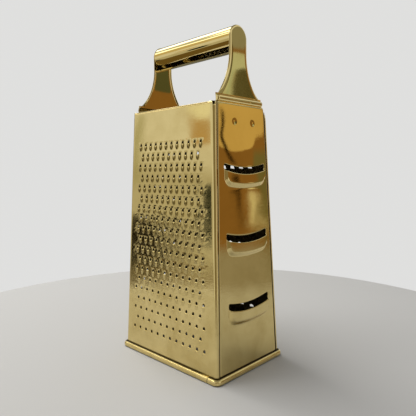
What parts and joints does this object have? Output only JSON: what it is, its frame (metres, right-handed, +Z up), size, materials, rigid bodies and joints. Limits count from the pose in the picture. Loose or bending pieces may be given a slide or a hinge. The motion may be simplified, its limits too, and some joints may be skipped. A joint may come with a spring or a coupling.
{
  "type": "box grater",
  "caption": "Tapered four-sided box grater with a tube grip on pressed brackets, fine and coarse scoops, slicing slots, zesting points and a rolled foot band.",
  "frame": {"origin": "on the table, under the middle of the foot band", "axes": "+Z up, X along the grip, fine shredding side facing -Y, slicing side facing +X"},
  "size_m": [0.1108, 0.0776, 0.2516],
  "materials": {
    "panel_sheet": "mirror polished gold colour, fine grain",
    "handle_metal": "mirror polished gold colour",
    "rim_metal": "mirror polished gold colour",
    "weld_metal": "plain, sealed between sheets"
  },
  "bodies": {
    "root": {"front_shredder_panel": "panel_sheet", "back_coarse_panel": "panel_sheet", "right_slicer_panel": "panel_sheet", "left_zester_panel": "panel_sheet", "right_handle_bracket": "handle_metal", "left_handle_bracket": "handle_metal", "grip_tube": "handle_metal", "base_band": "rim_metal", "right_bracket_welds": "weld_metal", "left_bracket_welds": "weld_metal"}
  },
  "joints": []
}
